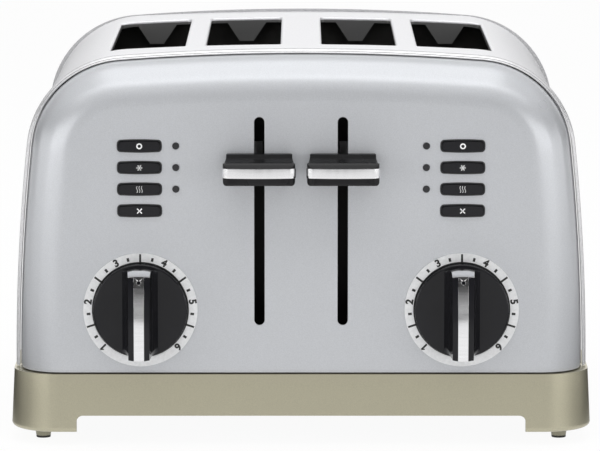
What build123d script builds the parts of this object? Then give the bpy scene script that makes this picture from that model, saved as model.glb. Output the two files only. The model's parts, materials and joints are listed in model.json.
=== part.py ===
from build123d import *
from math import atan2, degrees
import os

# Four-slice toaster, in millimetres. X runs to the right, Y from front to back, Z up.
# Pieces are drawn about the middle of the body, then moved so that the origin is on the
# table, under the middle of the whole toaster, levers and tray pull included.

# How far cuts run past the faces that they open
overcut = 1.0

# Front arch: the outline that both end panels share
arch_half = 130.2       # half width where the panel meets the base
arch_top = 180.1        # height of the crown
arch_crown_r = 1090.0   # shallow arc over the top
arch_side_r = 958.0     # shallow arc up each side, upright at the base
arch_corner = 44.0      # radius that rounds the shoulder off

# Sheet wrap over the sides and the top, a little flatter than the end panels
wrap_proud = 0.8
wrap_rise = 0.9         # how far its crown stands above the panels' crown
wrap_crown_r = 1520.0
wrap_corner = 46.0
wrap_sheet = 0.9

# Pressed end panels
panel_face = 122.0      # depth of the flat face, front and back
panel_depth = 24.0      # from the flat face back to the wrap's edge
panel_bullnose = 19.5
panel_sheet = 1.0
panel_gap = 0.6         # dark line between a panel and the base

# Polished trims between the wrap and the panels
trim_gap = 0.4
trim_proud = 2.3
trim_seat = 1.6         # land between the wrap's edge and the panel's rim
trim_lap = 5.4          # from the wrap's edge to the trim's front edge
trim_crease = 0.2
trim_round = 0.7
trim_flange = 1.0
trim_flange_reach = 4.4 # flange in front of the wrap's edge
trim_flange_tuck = 6.0  # flange behind the wrap's edge

# Base skirt
skirt_top = 33.4
skirt_step_x = 3.6      # how far the skirt stands out past the body's sides
skirt_step_y = 1.6      # and past the end panels
skirt_corner = 21.0
skirt_wall = 3.0
skirt_flare = 2.9       # degrees
skirt_ledge = 2.0
skirt_ledge_reach = 6.0
skirt_lower_round = 2.0
arch_cut_z = 14.1       # lower edge of the skirt between its legs
leg_length_x = 29.8     # from the skirt's corner to the arch between the legs
leg_length_y = 29.6
arch_cut_round = 3.0
leg_z = 6.2
leg_open_x = 3.0        # how far a leg's floor stops short of the arch beside it
leg_open_y = 3.0

# Feet
foot_inset_x = 13.2     # from the skirt's side to the middle of a foot
foot_inset_y = 21.6
foot_top_r = 4.1
foot_end_r = 3.3
foot_tip = 1.0
foot_stem_r = 2.0
foot_stem_fit = 0.1

# Base plate and its screws
plate_lift = 0.9        # above the arches between the legs
plate_sheet = 1.2
plate_edge = 0.3
post_inset_x = 20.8
post_inset_y = 26.6
post_r = 5.0
screw_r = 1.5
screw_head_r = 3.2
screw_head = 1.8
screw_depth = 4.5
vent_length = 40.0
vent_width = 3.0
vent_pitch = 9.0
vent_rows = 5
vent_x = 52.0

# Bread slots and the lips around them
slot_width = 35.0
slot_end_gap = 8.0      # from a slot's end to the chassis plate
slot_pair_gap = 10.0    # between the two slots of one side
slot_middle_gap = 19.4  # between the two sides
slot_corner = 2.0
lip_depth = 2.6         # how far the lip hangs below the wrap's outer face
lip_roll = 1.2          # radius over which the sheet rolls down into a slot
tongue_top = 21.0
tongue_end = 7.0
tongue_drop = 10.5

# Oven
end_bay = 23.0          # from a chassis plate's inner face to the wrap's edge
chassis_sheet = 1.0
chassis_flange_gap = 2.0
chassis_foot_inset = 12.2
board_sheet = 1.2
board_low = 36.0
board_clear = 4.9       # from a slot edge to the middle of a side board, outwards
tab_height = 10.0
tab_reach = 2.0
tab_fit = 0.1
tab_z = (54.0, 140.0)
ribbon = 0.3
ribbon_width = 1.8
ribbon_runs = 10
ribbon_end_gap = 5.0    # from the slot's end to the ribbon's end
ribbon_low = 48.0
ribbon_drop = 15.0      # from the top frame down to the ribbon
frame_drop = 18.0       # from the wrap's crown down to the frame
frame_sheet = 0.8
frame_clear = 1.0
frame_border = 10.0     # outside the outermost slots
shield_sheet = 0.6
shield_low = 24.0

# Bread guards
guard_out = 1.6         # wire centre outside the slot edge, at rest
guard_wire_r = 0.8
guard_rail_r = 1.0
guard_low = 40.0
guard_drop = 6.0        # from the top frame down to the upper rail
guard_wires = 9
guard_end_gap = 5.0     # from the slot's end to the last wire
guard_reach = 4.0
guard_close = 4.4       # inward travel with the lever fully down
guard_open = 1.2        # outward travel with the lever lifted
guard_fit = 0.4

# Racks and the carriage
rack_top = 104.0
rack_height = 8.0
rack_sheet = 2.0
rack_fingers = 9
rack_finger_half = 9.0
rack_end_gap = 5.0      # from the slot's end to the last finger
rack_finger_sheet = 1.2
rack_finger_height = 4.0
rack_back_reach = 4.0
rack_fit = 0.6
lever_down = 66.0
lever_up = 18.0
carriage_gap = 16.0     # from the chassis plate to the carriage's front face
carriage_sheet = 1.5
carriage_half = 8.0     # above and below the lever's height
carriage_side = 4.0
carriage_leg = 10.0
carriage_leg_end = 2.0  # leg below the racks
rod_back = 4.0          # rod behind the carriage's front face
rod_r = 2.5
rod_fit = 0.05
rod_stub = 0.8          # rod above its bracket
sleeve_wall = 2.0
sleeve_below = 2.0
sleeve_above = 4.0
bracket_drop = 17.4     # from the wrap's crown down to the bracket
bracket_sheet = 1.6
bracket_margin = 9.0    # bracket outside the springs
bracket_depth = 18.0
spring_step = 11.3      # from the rod to the spring, outwards
spring_back = 7.5       # spring behind the carriage's front face
spring_r = 3.5
spring_bore = 2.4
spring_drop = 10.0      # from the carriage down to the spring's hook
hook_half = 4.0
hook_sheet = 1.5
magnet_step = 11.1      # from the rod to the magnet, inwards
magnet_half = 5.0
magnet_reach = 7.0      # in front of and behind the carriage's front face
magnet_gap = 0.5

# Levers
lever_slot_x = 19.2
lever_slot_foot = 5.3   # room under the stem when the lever is down
lever_slot_head = 2.5   # room over the stem when the lever is lifted
lever_slot_width = 4.8
lever_z = 130.0
lever_half = 16.5
lever_root_half = 14.6
lever_gap = 1.6
lever_reach = 24.0
lever_low = 6.0
lever_high = 6.4
lever_bow = 1.5         # how far the middle of the front stands out past its corners
lever_round = 3.0       # front corners, seen from above
lever_end_round = 1.8   # four corners, seen from the front
lever_rise = 1.6        # how much the underside climbs towards the panel
lever_belly = 2.0       # from the front edge back to the lowest point
lever_nose = 3.4        # from the front edge back to the top of the nose
lever_nose_rise = 4.2
lever_scoop = 10.0      # from the front edge back to the bottom of the thumb scoop
lever_scoop_rise = 2.9
lever_ridge_rise = 4.6  # height at which the scoop meets the ridge at the panel
lever_ridge = 4.4
lever_ridge_top = 3.6
stem_sheet = 2.4
stem_height = 5.0
stem_bite = 9.0
band_low = 2.5
band_high = 2.0
band_sheet = 1.0
band_proud = 0.3
band_wrap = 9.0

# Browning knobs and dial rings
knob_inset = 56.05      # from the body's side
knob_z = 63.5
knob_r = 21.7
knob_lift = 0.8
knob_disc = 4.0
knob_edge = 0.8
land_half = 8.2
land_height = 0.8
grip_half = 5.4
grip_crest = 4.7
grip_margin = 1.2       # the raised land stops this far inside the rim
grip_length = 20.4      # from the axis to the pointing end
grip_crest_length = 18.4
grip_tail = 20.8        # from the axis to the square end
grip_bow = 1.0          # rise of the crest at its middle
grip_height = 16.8      # at the tail
grip_head_height = 14.4 # where the crest meets the sloping end
grip_waist = 8.0        # height at which the concave flanks end
grip_flare = 0.7
grip_end_height = 9.0   # at the foot of the sloping end
strip_half = 2.35
strip_sheet = 0.8
pointer_dot_z = 15.6
pointer_dot_r = 0.9
ring_r = 26.4
ring_sheet = 1.2
ring_gap = 0.7
shaft_r = 3.0
shaft_fit = 0.05
shaft_heel = 3.0        # shaft inside the control
shaft_reach = 10.0      # shaft in front of the panel
bush_r = 4.9
bush_fit = 0.1
control_half = 12.0
control_gap = 4.0       # behind the panel
control_depth = 12.0
nut_flats = 13.0
nut_height = 1.8
nut_room = 9.0
nut_gap = 0.6

# Buttons, indicator lights and the boards behind them
button_inset = 55.9     # from the body's side
button_low_z = 109.6
button_pitch = 10.0
button_count = 4
button_half = 9.55
button_end = 0.4        # how far the round end stands past the corner
button_half_height = 1.95
button_bow = 0.35
button_corner = 1.0     # radius of the four corners
button_proud = 1.4
button_travel = 1.5
button_fit = 0.25
button_flange = 0.7
button_flange_sheet = 1.3
surround = 0.8
surround_proud = 0.3
surround_fit = 0.05
button_frame_half = 23.8
button_frame_margin = 7.6
button_frame_sheet = 1.5
button_stem_r = 1.7
light_step = 16.7       # from the buttons, inwards
light_r = 1.6
light_proud = 0.5
light_fit = 0.05
circuit_gap = 9.5       # behind the button frames
circuit_sheet = 1.6
circuit_margin = 4.0
switch_half = 3.0
switch_height = 3.5
switch_gap = 0.2
standoff_r = 2.0
standoff_inset = 4.0

# Crumb tray, cord inlet and terminals
tray_half = 96.0
tray_end_gap = 5.0      # from the front chassis plate
tray_lift = 0.8         # above the base plate
tray_height = 6.0
tray_sheet = 0.8
tray_fit = 0.5
tray_end_height = 12.0
tray_end_sheet = 2.4
tray_pull_half = 30.0
tray_pull_reach = 6.0
tray_pull_sheet = 3.0
grommet_inset = 34.2    # from the body's side
grommet_z = 50.0
grommet_r = 6.0
grommet_flange_r = 8.5
grommet_flange = 2.0
grommet_bore = 3.8
grommet_inside = 7.0
terminal_x = 50.0
terminal_half_x = 14.0
terminal_low = 70.0
terminal_high = 86.0
terminal_depth = 14.0

# Heights and widths worked out from the ones above
wrap_top = arch_top + wrap_rise
panel_foot = skirt_top + panel_gap
skirt_half_x = arch_half + skirt_step_x
skirt_half_y = panel_face + skirt_step_y
arch_cut_x = skirt_half_x - leg_length_x
arch_cut_y = skirt_half_y - leg_length_y
foot_x = skirt_half_x - foot_inset_x
foot_y = skirt_half_y - foot_inset_y
post_x = skirt_half_x - post_inset_x
post_y = skirt_half_y - post_inset_y
plate_z = arch_cut_z + plate_lift
plate_top = plate_z + plate_sheet
tray_z = plate_top + tray_lift
knob_x = arch_half - knob_inset
button_x = arch_half - button_inset
light_x = button_x - light_step
grommet_x = arch_half - grommet_inset
chassis_foot_half = arch_half - chassis_foot_inset
button_heights = [button_low_z + button_pitch * i for i in range(button_count)]
light_heights = button_heights[1:]
button_frame_low = button_heights[0] - button_frame_margin
button_frame_high = button_heights[-1] + button_frame_margin

# Depths, each as a distance from the middle of the body
wrap_half_depth = panel_face - panel_depth
panel_rim = wrap_half_depth + trim_seat
panel_inner = panel_face - panel_sheet
trim_front = wrap_half_depth + trim_lap
trim_flange_front = wrap_half_depth + trim_flange_reach
trim_flange_back = wrap_half_depth - trim_flange_tuck
chassis_flange = wrap_half_depth - chassis_flange_gap
chassis_y = wrap_half_depth - end_bay
chassis_outer = chassis_y + chassis_sheet
slot_half_length = chassis_y - slot_end_gap
ribbon_half_length = slot_half_length - ribbon_end_gap
guard_pitch = 2 * (slot_half_length - guard_end_gap) / (guard_wires - 1)
rack_finger_pitch = 2 * (slot_half_length - rack_end_gap) / (rack_fingers - 1)
carriage_y = chassis_outer + carriage_gap
rod_y = carriage_y - rod_back
spring_y = carriage_y - spring_back
frame_front = panel_inner
frame_back = panel_inner - button_frame_sheet
circuit_y = frame_back - circuit_gap
control_front = panel_inner - control_gap
control_back = control_front - control_depth
shaft_back = control_back + shaft_heel
shaft_front = panel_face + shaft_reach
knob_back = -panel_face - knob_lift
knob_land = knob_back - knob_disc - land_height
knob_tail = knob_land - grip_height
knob_head = knob_land - grip_head_height
knob_crest = (knob_tail + knob_head) / 2 - grip_bow
knob_front = knob_tail - grip_bow - overcut
tray_front = chassis_y - tray_end_gap

# Oven and lifting gear, across and upwards
slot_edges = (
    slot_middle_gap / 2,
    slot_middle_gap / 2 + slot_width,
    slot_middle_gap / 2 + slot_width + slot_pair_gap,
    slot_middle_gap / 2 + 2 * slot_width + slot_pair_gap,
)
slot_centres = (
    (slot_edges[0] + slot_edges[1]) / 2,
    (slot_edges[2] + slot_edges[3]) / 2,
)
board_centres = (
    slot_edges[0] - board_clear - board_sheet,
    (slot_edges[1] + slot_edges[2]) / 2,
    slot_edges[3] + board_clear + board_sheet,
)
frame_half = slot_edges[3] + frame_border
shield_x = frame_half - shield_sheet
rod_x = board_centres[1]
spring_x = rod_x + spring_step
magnet_x = rod_x - magnet_step
bracket_half = spring_x + bracket_margin
frame_z = wrap_top - frame_drop
ribbon_high = frame_z - ribbon_drop
guard_high = frame_z - guard_drop
bracket_z = wrap_top - bracket_drop
rod_top = bracket_z + bracket_sheet + rod_stub
carriage_low = lever_z - carriage_half
carriage_high = lever_z + carriage_half
carriage_leg_low = rack_top - rack_height - carriage_leg_end
sleeve_low = carriage_low - sleeve_below
sleeve_high = carriage_high + sleeve_above
spring_low = carriage_low - spring_drop
lever_slot_low = lever_z - lever_down - stem_height / 2 - lever_slot_foot
lever_slot_high = lever_z + lever_up + stem_height / 2 + lever_slot_head

# The origin lies under the middle of the whole depth
front_reach = panel_face + lever_reach + band_proud
back_reach = skirt_half_y - skirt_wall + tray_end_sheet + tray_pull_reach
depth_shift = (front_reach - back_reach) / 2
SIDES = {"left": -1, "right": 1}


def across(y):
    """Drawing plane across the toaster at depth y, seen from the front."""
    return Plane.XZ.offset(-y)


def block(x, y, z, mode=Mode.ADD):
    """Straight-sided block between two x, two y and two z values."""
    with Locations(((x[0] + x[1]) / 2, (y[0] + y[1]) / 2, (z[0] + z[1]) / 2)):
        Box(abs(x[1] - x[0]), abs(y[1] - y[0]), abs(z[1] - z[0]), mode=mode)


def upright(places, radius, z, mode=Mode.ADD):
    """Vertical cylinders at x, y places between two z values."""
    with BuildSketch(Plane.XY.offset(z[0])) as discs:
        with Locations(*places):
            Circle(radius)
    extrude(discs.sketch, amount=z[1] - z[0], mode=mode)


def lengthwise(places, radius, y, mode=Mode.ADD):
    """Cylinders at x, z places that run front to back between two y values."""
    with BuildSketch(across(y[1])) as discs:
        with Locations(*places):
            Circle(radius)
    extrude(discs.sketch, amount=y[1] - y[0], mode=mode)


def corners(x, y):
    """The four places at plus and minus x and y."""
    return [(i * x, j * y) for i in (-1, 1) for j in (-1, 1)]


def both_sides(x, z):
    """The two places at plus and minus x."""
    return [(side * x, z) for side in SIDES.values()]


def outline(half, top, crown_r, corner, grow, foot):
    """Arch: near-upright sides, a shallow crown and rounded shoulders, cut off at the foot."""
    side_r = arch_side_r + half - arch_half
    with BuildSketch(Plane.XY) as shape:
        with Locations((0, top - crown_r)):
            Circle(crown_r + grow)
        for s in (-1, 1):
            with Locations((s * (half - side_r), skirt_top)):
                Circle(side_r + grow, mode=Mode.INTERSECT)
        with Locations((0, foot)):
            Rectangle(8 * side_r, 8 * side_r, align=(Align.CENTER, Align.MAX), mode=Mode.SUBTRACT)
        fillet(shape.vertices().sort_by(Axis.Y)[-2:], corner + grow)
    return shape.sketch


def panel_outline(grow, foot=panel_foot):
    """Outline of an end panel, grown by a distance all round."""
    return outline(arch_half, arch_top, arch_crown_r, arch_corner, grow, foot)


def wrap_outline(grow, foot=panel_foot):
    """Outline of the wrap's outer face, grown by a distance all round."""
    return outline(
        arch_half + wrap_proud, wrap_top, wrap_crown_r, wrap_corner, grow, foot
    )


def wrap_height(x):
    """Height of the wrap's outer face above the middle of its crown arc."""
    return wrap_top - wrap_crown_r + (wrap_crown_r**2 - x**2) ** 0.5


def on_wrap_skin(edge):
    """Whether an edge round a slot lies on the wrap's outer face, not on the lip's foot."""
    middle = edge @ 0.5
    return middle.Z > wrap_height(abs(middle.X)) - lip_depth / 2


def arch_ring(outer, inner, y, foot=panel_foot):
    """Band that follows the panel outline between two offsets and two depths."""
    with BuildSketch(across(y[1])) as ring:
        add(panel_outline(outer, foot))
        add(panel_outline(inner, foot - overcut), mode=Mode.SUBTRACT)
    extrude(ring.sketch, amount=y[1] - y[0])


def save(part, name):
    """Move a finished piece to the shared origin, label it and write it."""
    piece = part.part.moved(Location((0, depth_shift, 0)))
    piece.label = name
    export_step(piece, f"parts/{name}.step")


# Base skirt: a moulding with four hollow legs, arched out between them
def make_base_skirt():
    with BuildPart() as skirt:
        with BuildSketch(Plane.XY.offset(skirt_top)):
            RectangleRounded(2 * skirt_half_x, 2 * skirt_half_y, skirt_corner)
        extrude(amount=leg_z - skirt_top, taper=-skirt_flare)
        fillet(skirt.faces().sort_by(Axis.Z)[0].edges(), skirt_lower_round)
        with BuildSketch(across(2 * skirt_half_y)):
            with Locations((0, arch_cut_z)):
                RectangleRounded(
                    2 * arch_cut_x, 4 * leg_z, arch_cut_round, align=(Align.CENTER, Align.MAX)
                )
        extrude(amount=4 * skirt_half_y, mode=Mode.SUBTRACT)
        with BuildSketch(Plane.YZ.offset(-2 * skirt_half_x)):
            with Locations((0, arch_cut_z)):
                RectangleRounded(
                    2 * arch_cut_y, 4 * leg_z, arch_cut_round, align=(Align.CENTER, Align.MAX)
                )
        extrude(amount=4 * skirt_half_x, mode=Mode.SUBTRACT)
        inside_x = skirt_half_x - skirt_wall
        inside_y = skirt_half_y - skirt_wall
        for x, y in (
            (arch_cut_x + leg_open_x, inside_y), (inside_x, arch_cut_y + leg_open_y)
        ):
            block((-x, x), (-y, y), (0, arch_cut_z), Mode.SUBTRACT)
        with BuildSketch(Plane.XY.offset(leg_z + skirt_wall)):
            RectangleRounded(2 * inside_x, 2 * inside_y, skirt_corner - skirt_wall)
        extrude(amount=skirt_top - skirt_ledge - leg_z - skirt_wall, mode=Mode.SUBTRACT)
        mouth_wall = skirt_wall + skirt_ledge_reach
        with BuildSketch(Plane.XY.offset(skirt_top)):
            RectangleRounded(
                2 * (skirt_half_x - mouth_wall), 2 * (skirt_half_y - mouth_wall),
                skirt_corner - mouth_wall,
            )
        extrude(amount=-2 * skirt_ledge, mode=Mode.SUBTRACT)
        posts = corners(post_x, post_y)
        upright(posts, post_r, (leg_z + skirt_wall / 2, plate_z))
        upright(posts, screw_r, (plate_z - screw_depth, plate_z), Mode.SUBTRACT)
        upright(
            corners(foot_x, foot_y), foot_stem_r + foot_stem_fit,
            (leg_z - overcut, leg_z + skirt_wall + overcut), Mode.SUBTRACT,
        )
        block(
            (-tray_half - tray_fit, tray_half + tray_fit),
            (skirt_half_y - 2 * skirt_wall, skirt_half_y + 4 * skirt_wall),
            (tray_z - tray_fit, tray_z + tray_end_height + tray_fit),
            Mode.SUBTRACT,
        )
    return skirt


# Feet: four turned pegs pushed into the legs, with soft tips
def make_feet():
    slope = degrees(atan2(foot_top_r - foot_end_r, leg_z))
    with BuildPart() as feet:
        with BuildSketch(Plane.XY.offset(leg_z)):
            with Locations(*corners(foot_x, foot_y)):
                Circle(foot_top_r)
        extrude(amount=foot_tip - leg_z, taper=slope)
        upright(corners(foot_x, foot_y), foot_stem_r, (leg_z, leg_z + skirt_wall))
    return feet


def make_foot_tips():
    slope = degrees(atan2(foot_top_r - foot_end_r, leg_z))
    with BuildPart() as tips:
        with BuildSketch():
            with Locations(*corners(foot_x, foot_y)):
                Circle(foot_end_r)
        extrude(amount=foot_tip, taper=-slope)
    return tips


# Base plate: pressed steel floor with cooling slits, screwed to the posts
def make_base_plate():
    inset = skirt_wall + plate_edge
    with BuildPart() as plate:
        with BuildSketch(Plane.XY.offset(plate_z)):
            RectangleRounded(
                2 * (skirt_half_x - inset), 2 * (skirt_half_y - inset), skirt_corner - inset
            )
            with Locations((-vent_x, 0), (vent_x, 0)):
                with GridLocations(0, vent_pitch, 1, vent_rows):
                    SlotOverall(vent_length, vent_width, mode=Mode.SUBTRACT)
            with GridLocations(2 * post_x, 2 * post_y, 2, 2):
                Circle(screw_r, mode=Mode.SUBTRACT)
        extrude(amount=plate_sheet)
    return plate


def make_base_screws():
    with BuildPart() as screws:
        posts = corners(post_x, post_y)
        upright(posts, screw_r, (plate_z - screw_depth, plate_top))
        upright(posts, screw_head_r, (plate_top, plate_top + screw_head))
    return screws


# Body wrap: one sheet over both sides and the top, with four lipped bread slots
def slot_outlines(grow, mode=Mode.ADD):
    with Locations(*[(side * x, 0) for side in SIDES.values() for x in slot_centres]):
        RectangleRounded(
            slot_width + 2 * grow, 2 * (slot_half_length + grow), slot_corner + grow, mode=mode
        )


def tongue_outline(x, top):
    """Tapered tongue that hangs at a slot's end."""
    Polygon(
        (x - tongue_top / 2, top), (x + tongue_top / 2, top),
        (x + tongue_end / 2, top - tongue_drop), (x - tongue_end / 2, top - tongue_drop),
        align=None,
    )


def make_body_wrap():
    low = wrap_height(slot_edges[3]) - lip_depth - tongue_drop
    with BuildPart() as wrap:
        with BuildSketch(across(wrap_half_depth)):
            add(wrap_outline(0))
            add(wrap_outline(-lip_depth, panel_foot - overcut), mode=Mode.SUBTRACT)
        extrude(amount=2 * wrap_half_depth)
        with BuildSketch(Plane.XY.offset(low)):
            slot_outlines(wrap_sheet)
        extrude(amount=wrap_top - low, mode=Mode.INTERSECT)
        for y in (-slot_half_length, slot_half_length + wrap_sheet):
            with BuildSketch(across(y)):
                for side in SIDES.values():
                    for x in slot_centres:
                        tongue_outline(side * x, wrap_height(x) - lip_depth / 2)
            extrude(amount=wrap_sheet)
        with BuildSketch(across(wrap_half_depth)):
            add(wrap_outline(0))
            add(wrap_outline(-wrap_sheet, panel_foot - overcut), mode=Mode.SUBTRACT)
        extrude(amount=2 * wrap_half_depth)
        with BuildSketch(Plane.XY.offset(low)):
            slot_outlines(0)
        extrude(amount=wrap_top, mode=Mode.SUBTRACT)
        cut = wrap.edges(Select.LAST).filter_by(Axis.Z, reverse=True)
        fillet(cut.filter_by(on_wrap_skin), lip_roll)
    return wrap


# End panels: deep-drawn covers with a rolled edge
def domed(grow, face, radius, foot):
    """Solid arch from the rim to a face, with its front edge rolled."""
    with BuildPart() as dome:
        with BuildSketch(across(-panel_rim)):
            add(panel_outline(grow, foot))
        extrude(amount=face - panel_rim)
        front = dome.faces().sort_by(Axis.Y)[0]
        fillet(front.edges().sort_by(Axis.Z)[1:], radius)
    return dome.part


def button_outline(side, z, grow):
    """Bowed lozenge of one button, grown all round, in the plane of the front face."""
    x = side * button_x
    half = button_half + grow
    corner = half - button_end
    height = button_half_height + grow
    with BuildSketch(Plane.XY) as shape:
        with BuildLine():
            for s in (1, -1):
                ThreePointArc(
                    (x - corner, z + s * height), (x, z + s * (height + button_bow)),
                    (x + corner, z + s * height),
                )
                ThreePointArc(
                    (x + s * corner, z - height), (x + s * half, z), (x + s * corner, z + height)
                )
        make_face()
        fillet(shape.vertices(), button_corner + grow)
    return shape.sketch


def make_front_panel():
    with BuildPart() as panel:
        add(domed(0, panel_face, panel_bullnose, panel_foot))
        add(
            domed(
                -panel_sheet, panel_inner, panel_bullnose - panel_sheet, panel_foot - overcut
            ),
            mode=Mode.SUBTRACT,
        )
        with BuildSketch(across(-panel_inner + panel_sheet)):
            for side in SIDES.values():
                with Locations((side * lever_slot_x, (lever_slot_low + lever_slot_high) / 2)):
                    SlotOverall(lever_slot_high - lever_slot_low, lever_slot_width, rotation=90)
                with Locations((side * knob_x, knob_z)):
                    Circle(bush_r + bush_fit)
                for z in light_heights:
                    with Locations((side * light_x, z)):
                        Circle(light_r + light_fit)
                for z in button_heights:
                    add(button_outline(side, z, surround + surround_fit))
        extrude(amount=3 * panel_sheet, mode=Mode.SUBTRACT)
    return panel


def make_back_panel():
    with BuildPart() as panel:
        add(domed(0, panel_face, panel_bullnose, panel_foot))
        add(
            domed(
                -panel_sheet, panel_inner, panel_bullnose - panel_sheet, panel_foot - overcut
            ),
            mode=Mode.SUBTRACT,
        )
        mirror(about=Plane.XZ, mode=Mode.REPLACE)
        lengthwise(
            [(grommet_x, grommet_z)], grommet_r,
            (panel_inner - panel_sheet, panel_face + panel_sheet), Mode.SUBTRACT,
        )
    return panel


# Rim trims: bright extrusions whose hidden flange joins wrap, panel and chassis
def make_rim_trim(back):
    with BuildPart() as trim:
        arch_ring(trim_proud, trim_gap, (-trim_front, -wrap_half_depth - trim_crease))
        outer = trim.faces().filter_by(GeomType.PLANE).filter_by(Axis.Y)
        fillet(outer.edges().filter_by(lambda e: e.length > arch_half / 2), trim_round)
        arch_ring(trim_gap, -panel_sheet, (-panel_rim, -wrap_half_depth))
        arch_ring(
            -panel_sheet, -panel_sheet - trim_flange, (-trim_flange_front, -trim_flange_back)
        )
        if back:
            mirror(about=Plane.XZ, mode=Mode.REPLACE)
    return trim


# Chassis plates: steel bulkheads that close the oven and carry its pieces
def window(x, z, half_x, half_z):
    """Rectangular hole in an upright plate, in the plane of the front face."""
    with Locations((x, z)):
        Rectangle(2 * half_x, 2 * half_z, mode=Mode.SUBTRACT)


def make_chassis_plate(back):
    skin = -panel_sheet - trim_flange
    tray_top = tray_z + tray_end_height + 2 * tray_fit
    rack_low = rack_top - rack_height - lever_down - rack_fit
    rack_high = rack_top + lever_up + rack_fit
    rail_room = guard_rail_r + guard_fit
    with BuildPart() as plate:
        arch_ring(skin, skin - chassis_sheet, (-chassis_flange, -chassis_y))
        with BuildSketch(across(-chassis_y)):
            add(panel_outline(skin))
            with Locations((0, plate_top)):
                Rectangle(
                    2 * chassis_foot_half, panel_foot + chassis_sheet - plate_top,
                    align=(Align.CENTER, Align.MIN),
                )
            window(0, plate_top, tray_half + 2 * tray_fit, tray_top - plate_top)
            for side in SIDES.values():
                for x in slot_centres:
                    window(
                        side * x, (rack_low + rack_high) / 2, rack_sheet / 2 + rack_fit,
                        (rack_high - rack_low) / 2,
                    )
                for x in board_centres:
                    for z in tab_z:
                        window(
                            side * x, z, board_sheet / 2 + tab_fit, tab_height / 2 + tab_fit
                        )
                for x, way in guard_places():
                    middle = x + way * (guard_close - guard_open) / 2
                    half = (guard_close + guard_open) / 2 + rail_room
                    for z in (guard_low, guard_high):
                        window(side * middle, z, half, rail_room)
        extrude(amount=chassis_sheet)
        if back:
            mirror(about=Plane.XZ, mode=Mode.REPLACE)
    return plate


def guard_places():
    """Rest place of each guard on one side, and the way it moves to close."""
    return (
        (slot_edges[0] - guard_out, 1), (slot_edges[1] + guard_out, -1),
        (slot_edges[2] - guard_out, 1), (slot_edges[3] + guard_out, -1),
    )


# Oven: top frame, side shields, mica boards and their heating ribbons
def make_oven_top_frame():
    with BuildPart() as frame:
        with BuildSketch(Plane.XY.offset(frame_z)):
            Rectangle(2 * frame_half, 2 * chassis_y)
            slot_outlines(frame_clear, Mode.SUBTRACT)
        extrude(amount=frame_sheet)
    return frame


def make_side_heat_shields():
    with BuildPart() as shields:
        for side in SIDES.values():
            block(
                (side * shield_x, side * (shield_x + shield_sheet)), (-chassis_y, chassis_y),
                (shield_low, frame_z),
            )
    return shields


def make_heater_boards():
    reach = chassis_outer + tab_reach
    with BuildPart() as boards:
        for x in board_centres:
            for side in SIDES.values():
                with BuildSketch(Plane.YZ.offset(side * x - board_sheet / 2)):
                    with Locations((0, board_low)):
                        Rectangle(
                            2 * chassis_y, frame_z - board_low, align=(Align.CENTER, Align.MIN)
                        )
                    with Locations(*[(0, z) for z in tab_z]):
                        Rectangle(2 * reach, tab_height)
                extrude(amount=board_sheet)
    return boards


def ribbon_outline():
    """Flat ribbon laid up and down a board, in the plane of the board."""
    pitch = (ribbon_high - ribbon_low) / (ribbon_runs - 1)
    end = ribbon_half_length - ribbon_width / 2
    with BuildSketch(Plane.YZ) as ribbon_face:
        with Locations((0, (ribbon_high + ribbon_low) / 2)):
            with GridLocations(0, pitch, 1, ribbon_runs):
                Rectangle(2 * ribbon_half_length, ribbon_width)
        bends = [(end if i % 2 else -end, ribbon_low + pitch * (i + 0.5))
                 for i in range(ribbon_runs - 1)]
        with Locations(*bends):
            Rectangle(ribbon_width, pitch)
    return ribbon_face.sketch


def make_heating_ribbons():
    face = ribbon_outline()
    heated = (
        (board_centres[0], 1), (board_centres[1], -1), (board_centres[1], 1),
        (board_centres[2], -1),
    )
    with BuildPart() as ribbons:
        for side in SIDES.values():
            for x, way in heated:
                skin = side * (x + way * board_sheet / 2)
                extrude(face.moved(Location((skin, 0, 0))), amount=side * way * ribbon)
    return ribbons


# Bread guards: wire grids either side of each well, hung through the chassis plates
def make_guards(side, way):
    reach = chassis_outer + guard_reach
    rests = [side * x for x, direction in guard_places() if direction == way]
    with BuildPart() as guards:
        with BuildSketch(across(reach)):
            with Locations(*[(x, z) for x in rests for z in (guard_low, guard_high)]):
                Circle(guard_rail_r)
        extrude(amount=2 * reach)
        with BuildSketch(Plane.XY.offset(guard_low)):
            with Locations(*[(x, 0) for x in rests]):
                with GridLocations(0, guard_pitch, 1, guard_wires):
                    Circle(guard_wire_r)
        extrude(amount=guard_high - guard_low)
    return guards


# Bread racks: a bar with cross fingers, its arm reaching forward to the carriage
def make_bread_rack(x):
    front = -carriage_y + carriage_sheet
    back = chassis_outer + rack_back_reach
    with BuildPart() as rack:
        block((x - rack_sheet / 2, x + rack_sheet / 2), (front, back),
              (rack_top - rack_height, rack_top))
        with BuildSketch(Plane.XY.offset(rack_top)):
            with Locations((x, 0)):
                with GridLocations(0, rack_finger_pitch, 1, rack_fingers):
                    Rectangle(2 * rack_finger_half, rack_finger_sheet)
        extrude(amount=-rack_finger_height)
    return rack


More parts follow.
